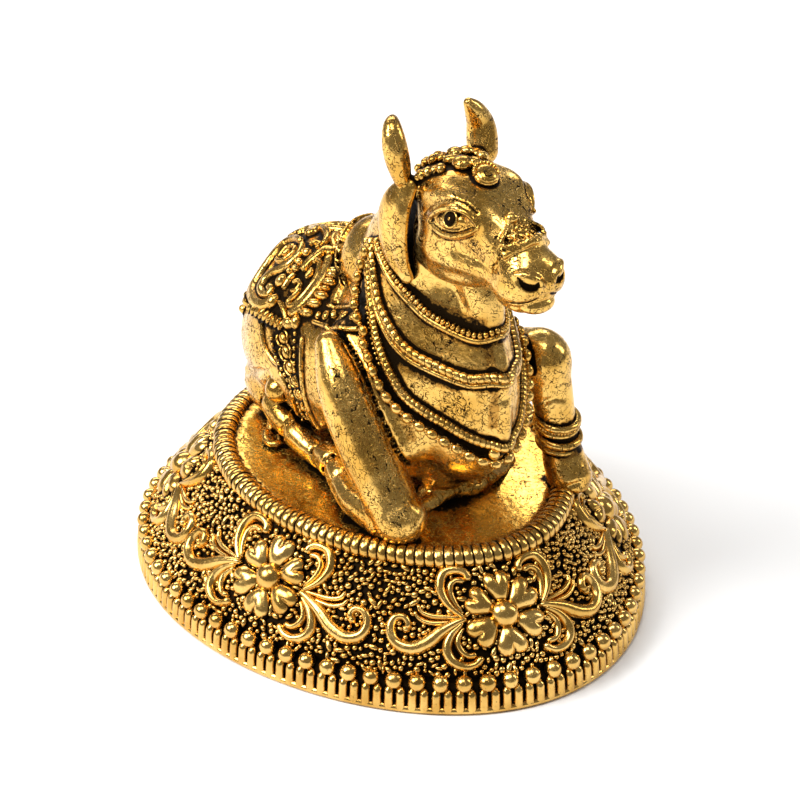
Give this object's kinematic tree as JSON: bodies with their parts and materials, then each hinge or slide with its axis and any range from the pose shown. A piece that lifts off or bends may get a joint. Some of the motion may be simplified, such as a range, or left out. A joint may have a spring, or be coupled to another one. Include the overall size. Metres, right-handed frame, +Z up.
{
  "type": "nandi bull figure",
  "caption": "Small cast metal figure of a resting bull with garlands and saddle cloth on an egg-shaped domed plinth with flower scrolls and a beaded edge.",
  "frame": {"origin": "middle of the plinth's flat underside, where the figure stands", "axes": "+X the way the bull faces, along the plinth's length; +Y the bull's left side; +Z up"},
  "size_m": [0.0899, 0.0778, 0.0844],
  "materials": {
    "gold": "polished antique gold with dark recesses and fine crackle",
    "base_gold": "polished antique gold relief on a dark granulated ground"
  },
  "bodies": {
    "root": {"bull": "gold", "base": "base_gold"}
  },
  "joints": []
}
